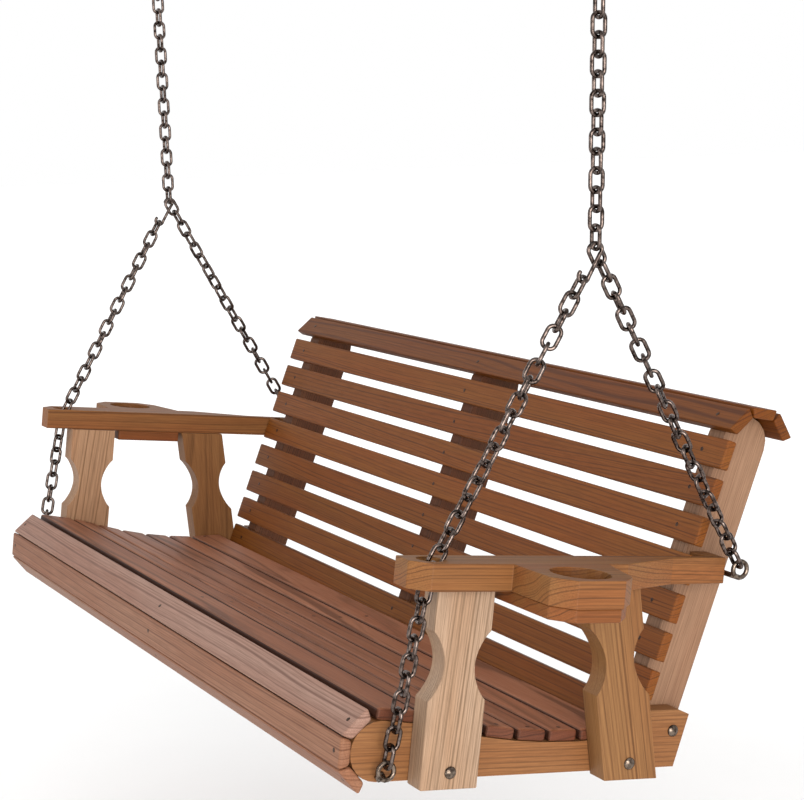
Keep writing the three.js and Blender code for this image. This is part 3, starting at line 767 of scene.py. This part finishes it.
def make_bolts():
    rail_inner = RAIL_OUTER_X - RAIL_THICKNESS
    arm_head = RAIL_OUTER_X + FIT + ARM_POST_THICKNESS
    post_inner = rail_inner - FIT - POST_WIDTH
    for name, side in SIDES:
        carriage_bolt("bolt_arm_front_" + name, arm_head, rail_inner, *FRONT_POST_BOLT, side)
        carriage_bolt("bolt_arm_rear_" + name, arm_head, rail_inner, *REAR_POST_BOLT, side)
        carriage_bolt("bolt_back_" + name, RAIL_OUTER_X, post_inner, *BACK_BOLT, side)
        eye_bolt("eye_bolt_front_" + name, FRONT_EYE, RAIL_OUTER_X, rail_inner, side)
        eye_bolt("eye_bolt_rear_" + name, REAR_EYE, rail_inner, post_inner, side)
    centre_head = CENTRE_JOINT_X + FIT + RAIL_THICKNESS
    carriage_bolt("bolt_centre", centre_head, CENTRE_JOINT_X - POST_WIDTH, *BACK_BOLT, 1)


# ---------- ceiling hangers ----------


def plate_ring(centre, z, inset):
    """The outline of a plate with rounded corners, drawn in by `inset`."""
    outline = round_cornered(HANGER_PLATE.x / 2 - inset, HANGER_PLATE.y / 2 - inset, PLATE_CORNER, 5)
    return [Vector((centre + x, y, z)) for x, y in outline]


def hanger_bar(x):
    """The middle of the bent bar that a chain hangs on, from plate to plate."""
    path = [Vector((x - HANGER_BAR_HALF, 0, -HANGER_PLATE.z / 2))]
    for corner, start in ((-1, 180), (1, 270)):
        middle = x + corner * (HANGER_BAR_HALF - HANGER_BAR_CORNER)
        for i in range(HANGER_BAR_STEPS + 1):
            angle = math.radians(start + i * 90 / HANGER_BAR_STEPS)
            sideways = HANGER_BAR_CORNER * math.cos(angle)
            upwards = HANGER_BAR_CORNER * math.sin(angle)
            path.append(Vector((middle + sideways, 0, HANGER_BAR_Z + HANGER_BAR_CORNER + upwards)))
    path.append(Vector((x + HANGER_BAR_HALF, 0, -HANGER_PLATE.z / 2)))
    return path


def make_hangers():
    bottom = -HANGER_PLATE.z
    layers = ((bottom, PLATE_BEVEL), (bottom + PLATE_BEVEL, 0), (0, 0))
    for name, side in SIDES:
        x = side * (JUNCTION.x + CHAIN_SPLAY)
        build = Build()
        build.rings([plate_ring(x, z, inset) for z, inset in layers])
        build.tube(hanger_bar(x), HANGER_BAR_RADIUS, 14)
        for offset in (-PLATE_SCREW_X, PLATE_SCREW_X):
            build.lathe(Vector((x + offset, 0, bottom)), Vector((0, 0, -1)), in_metres(PLATE_SCREW), sides=6)
        new_piece(
            "hanger_" + name, build.verts, build.faces, HANGER,
            "hangers", ["ceiling_hanger_" + name], smooth=False,
        )


# ---------- screws ----------


def add_screws(name, spots):
    """Flat heads set in the wood, at (x, y, z, facing degrees) in the bench's frame."""
    build = Build()
    for x, y, z, facing in spots:
        angle = math.radians(facing)
        way = bench_way(0, math.cos(angle), math.sin(angle))
        build.lathe(bench(x, y, z), way, in_metres(SLAT_SCREW), sides=14)
    new_piece(name, build.verts, build.faces, SCREW, "seat", smooth=False)


def rail_lines():
    middle = RAIL_OUTER_X - RAIL_THICKNESS / 2
    return (-middle, CENTRE_JOINT_X + RAIL_THICKNESS / 2, middle)


def post_lines():
    middle = RAIL_OUTER_X - RAIL_THICKNESS - FIT - POST_WIDTH / 2
    return (-middle, CENTRE_JOINT_X - POST_WIDTH / 2, middle)


def front_screws():
    spots = []
    for facing in FRONT_SLAT_ANGLES:
        angle = math.radians(facing)
        reach = NOSE_RADIUS + SLAT_THICKNESS
        y = NOSE_RADIUS + reach * math.cos(angle)
        z = NOSE_RADIUS + reach * math.sin(angle)
        spots.extend((x, y, z, facing) for x in rail_lines())
    return spots


def seat_screws():
    spots = []
    for i in range(len(SEAT_CURVE) - 1):
        y0 = SEAT_START + i * SEAT_STEP
        z0, z1 = SEAT_CURVE[i], SEAT_CURVE[i + 1]
        facing = math.degrees(math.atan2(SEAT_STEP, z0 - z1))
        lift = SLAT_THICKNESS + FIT
        y = y0 + SEAT_STEP / 2 + lift * math.cos(math.radians(facing))
        z = (z0 + z1) / 2 + lift * math.sin(math.radians(facing))
        spots.extend((x, y, z, facing) for x in rail_lines())
    return spots


def back_screws():
    spots = []
    for i in range(BACK_SLATS):
        y, z = on_back(FIRST_BACK_SLAT + i * BACK_STEP, BACK_SLAT_THICKNESS + FIT)
        spots.extend((x, y, z, 180 - BACK_LEAN) for x in post_lines())
    y0, z0 = on_back(ROLL_CENTRE, -POST_DEPTH / 2)
    reach = POST_DEPTH / 2 + FIT + BACK_SLAT_THICKNESS
    for facing in ROLL_ANGLES:
        angle = math.radians(facing)
        y = y0 + reach * math.cos(angle)
        z = z0 + reach * math.sin(angle)
        spots.extend((x, y, z, facing) for x in post_lines())
    return spots


# ---------- floor, light and camera ----------


def make_floor():
    mesh = bpy.data.meshes.new("floor")
    half = FLOOR_HALF
    corners = [(-half, -half, 0), (half, -half, 0), (half, half, 0), (-half, half, 0)]
    mesh.from_pydata(corners, [], [(0, 1, 2, 3)])
    floor = bpy.data.objects.new("floor", mesh)
    floor.location = (0, 0, FLOOR_Z)
    bpy.context.scene.collection.objects.link(floor)
    tree = Tree("floor_paint")
    shade = tree.ramp(tree.noise(tree.place(), FLOOR_PATCHES), FLOOR_STOPS)
    tree.feed(tree.shader, "Base Color", shade)
    tree.shader.inputs["Roughness"].default_value = FLOOR_ROUGHNESS
    # the far floor glows a little, so that it meets the white background without a line
    far = tree.vector("LENGTH", tree.place(stretch=GLOW_STRETCH), output="Value")
    tree.shader.inputs["Emission Color"].default_value = (1, 1, 1, 1)
    tree.feed(tree.shader, "Emission Strength", tree.ramp(far, GLOW_STOPS))
    mesh.materials.append(tree.material)


def soft_light(name, place, target, size, power, colour):
    data = bpy.data.lights.new(name, "AREA")
    data.size = size
    data.energy = power
    data.color = colour
    lamp = bpy.data.objects.new(name, data)
    lamp.location = place
    way = Vector(target) - Vector(place)
    lamp.rotation_euler = way.to_track_quat("-Z", "Y").to_euler()
    bpy.context.scene.collection.objects.link(lamp)


def make_lights():
    world = bpy.data.worlds.new("studio")
    world.use_nodes = True
    world.node_tree.nodes["Background"].inputs["Color"].default_value = (1, 1, 1, 1)
    world.node_tree.nodes["Background"].inputs["Strength"].default_value = 1.0
    bpy.context.scene.world = world
    for name, settings in LIGHTS.items():
        soft_light(name, *settings)


def make_camera():
    data = bpy.data.cameras.new("camera")
    data.lens = CAMERA_LENS
    data.sensor_width = CAMERA_SENSOR
    data.shift_x, data.shift_y = CAMERA_SHIFT
    camera = bpy.data.objects.new("camera", data)
    azimuth = math.radians(CAMERA_AZIMUTH)
    elevation = math.radians(CAMERA_ELEVATION)
    back = Vector((
        math.sin(azimuth) * math.cos(elevation),
        -math.cos(azimuth) * math.cos(elevation),
        math.sin(elevation),
    ))
    roll = Quaternion((0, 0, 1), math.radians(CAMERA_ROLL))
    camera.rotation_mode = "QUATERNION"
    camera.rotation_quaternion = (-back).to_track_quat("-Z", "Y") @ roll
    camera.location = CAMERA_PLACE
    bpy.context.scene.collection.objects.link(camera)
    bpy.context.scene.camera = camera


# ---------- everything ----------

bpy.context.scene.view_settings.view_transform = "Standard"
make_camera()
make_lights()
make_floor()
dress_wood()
make_hooks()
make_chains()
make_bolts()
make_hangers()
add_screws("screws_front", front_screws())
add_screws("screws_seat", seat_screws())
add_screws("screws_back", back_screws())
